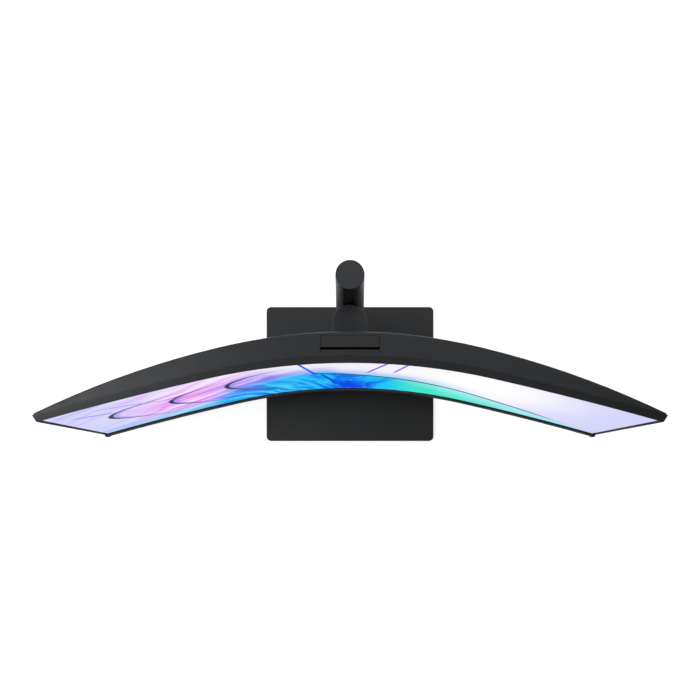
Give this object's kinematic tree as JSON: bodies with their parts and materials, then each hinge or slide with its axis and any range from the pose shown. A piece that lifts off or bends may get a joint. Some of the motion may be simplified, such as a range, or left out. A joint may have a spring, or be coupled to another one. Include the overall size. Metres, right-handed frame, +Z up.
{
  "type": "computer monitor",
  "caption": "Curved super-wide monitor on a height, tilt and swivel stand with a flat base plate, round column and pop-up webcam.",
  "frame": {"origin": "centre of the base plate on the desk surface", "axes": "+X to the right seen from the front, +Y to the rear, +Z up"},
  "size_m": [1.0946, 0.308, 0.397],
  "materials": {
    "stand_finish": "fine-textured charcoal powder coat",
    "cover_plastic": "fine spark-eroded grain, charcoal",
    "frame_plastic": "satin charcoal",
    "black_plastic": "black",
    "nylon": "natural nylon",
    "acrylic": "clear moulded sheet",
    "film": "white diffusing film",
    "display": "anti-glare screen, lit",
    "rubber": "matt",
    "steel": "zinc-plated sheet",
    "rod_chrome": "ground and plated",
    "screw_steel": "black oxide",
    "brass_washer": "turned",
    "cast_alloy": "die cast",
    "board_green": "solder resist",
    "led_strip": "white coated",
    "ribbon": "flat flex",
    "speaker_plastic": "black",
    "socket_metal": "nickel plated",
    "lens_glass": "dark coated lens"
  },
  "bodies": {
    "base": {"base_cover": "stand_finish", "base_weight_plate": "steel", "base_pan": "black_plastic", "base_screws": "screw_steel", "base_feet": "rubber", "swivel_washer": "nylon"},
    "column": {"swivel_hub": "cast_alloy", "swivel_retainer": "steel", "swivel_screws": "screw_steel", "column_foot": "stand_finish", "column_shell": "stand_finish", "column_cap": "stand_finish", "cable_grommet": "black_plastic", "guide_rods": "rod_chrome", "upper_rod_bracket": "cast_alloy", "spring_strip": "steel"},
    "drum": {"spring_drum": "nylon", "spring_coil": "steel"},
    "carriage": {"carriage_block": "cast_alloy", "rod_bushings": "nylon", "neck_bracket": "steel", "neck_upper_cover": "stand_finish", "neck_lower_cover": "stand_finish", "friction_washers": "brass_washer"},
    "head": {"tilt_shaft": "steel", "tilt_yoke": "steel", "quick_release_plate": "steel", "vesa_bracket": "steel", "rear_cover": "cover_plastic", "electronics_cover": "cover_plastic", "port_cover": "cover_plastic", "cover_screws": "screw_steel", "front_frame": "frame_plastic", "bottom_bezel": "frame_plastic", "lcd_panel": "display", "diffuser_films": "film", "light_guide": "acrylic", "led_bar": "led_strip", "panel_chassis": "steel", "board_tray": "steel", "main_board": "board_green", "power_board": "board_green", "panel_driver_board": "board_green", "ribbon_cable": "ribbon", "speakers": "speaker_plastic", "control_board": "board_green", "joystick_switch": "black_plastic", "power_inlet": "black_plastic", "rocker_housing": "black_plastic", "sockets": "socket_metal", "webcam_guide": "black_plastic"},
    "release": {"release_button": "black_plastic"},
    "webcam": {"webcam_housing": "cover_plastic", "webcam_lens": "lens_glass", "webcam_board": "board_green"},
    "stick_gimbal": {"joystick_gimbal": "nylon"},
    "stick_stem": {"joystick_stem": "nylon"},
    "stick_cap": {"joystick_cap": "black_plastic"},
    "power_key": {"power_button": "black_plastic"},
    "mains_rocker": {"power_rocker": "black_plastic"}
  },
  "joints": [
    {"name": "swivel", "type": "hinge", "parent": "base", "child": "column", "pos_m": [0, 0.107, 0.0125], "axis": [0, 0, 1], "range_deg": [-20, 20]},
    {"name": "height", "type": "slide", "parent": "column", "child": "carriage", "axis": [0, 0, 1], "range_m": [0, 0.095], "deforming": ["spring_strip"]},
    {"name": "drum_turn", "type": "hinge", "parent": "column", "child": "drum", "pos_m": [0, 0.114, 0.368], "axis": [1, 0, 0], "range_deg": [0, 480]},
    {"name": "tilt", "type": "hinge", "parent": "carriage", "child": "head", "pos_m": [0, 0.04, 0.225], "axis": [-1, 0, 0], "range_deg": [-5, 20]},
    {"name": "release_press", "type": "slide", "parent": "head", "child": "release", "axis": [0, 0, 1], "range_m": [0, 0.003], "stiffness_N_per_m": 500, "springref_m": -0.001},
    {"name": "webcam_rise", "type": "slide", "parent": "head", "child": "webcam", "axis": [0, 0, 1], "range_m": [0, 0.032]},
    {"name": "stick_pitch", "type": "hinge", "parent": "head", "child": "stick_gimbal", "pos_m": [0, -0.014, 0.072], "axis": [1, 0, 0], "range_deg": [-8, 8], "stiffness_Nm_per_rad": 0.05},
    {"name": "stick_roll", "type": "hinge", "parent": "stick_gimbal", "child": "stick_stem", "pos_m": [0, -0.014, 0.072], "axis": [0, 1, 0], "range_deg": [-8, 8], "stiffness_Nm_per_rad": 0.05},
    {"name": "stick_press", "type": "slide", "parent": "stick_stem", "child": "stick_cap", "axis": [0, 0, 1], "range_m": [0, 0.0008], "stiffness_N_per_m": 800, "springref_m": -0.0006},
    {"name": "power_press", "type": "slide", "parent": "head", "child": "power_key", "axis": [0, 0, 1], "range_m": [0, 0.0008], "stiffness_N_per_m": 800, "springref_m": -0.0006},
    {"name": "mains_switch", "type": "hinge", "parent": "head", "child": "mains_rocker", "pos_m": [-0.1405, -0.0025, 0.14], "axis": [0, -1, 0], "range_deg": [0, 16]}
  ],
  "couplings": [
    {"joint": "drum_turn", "follows": "height", "rad_per_m": 83.333}
  ]
}
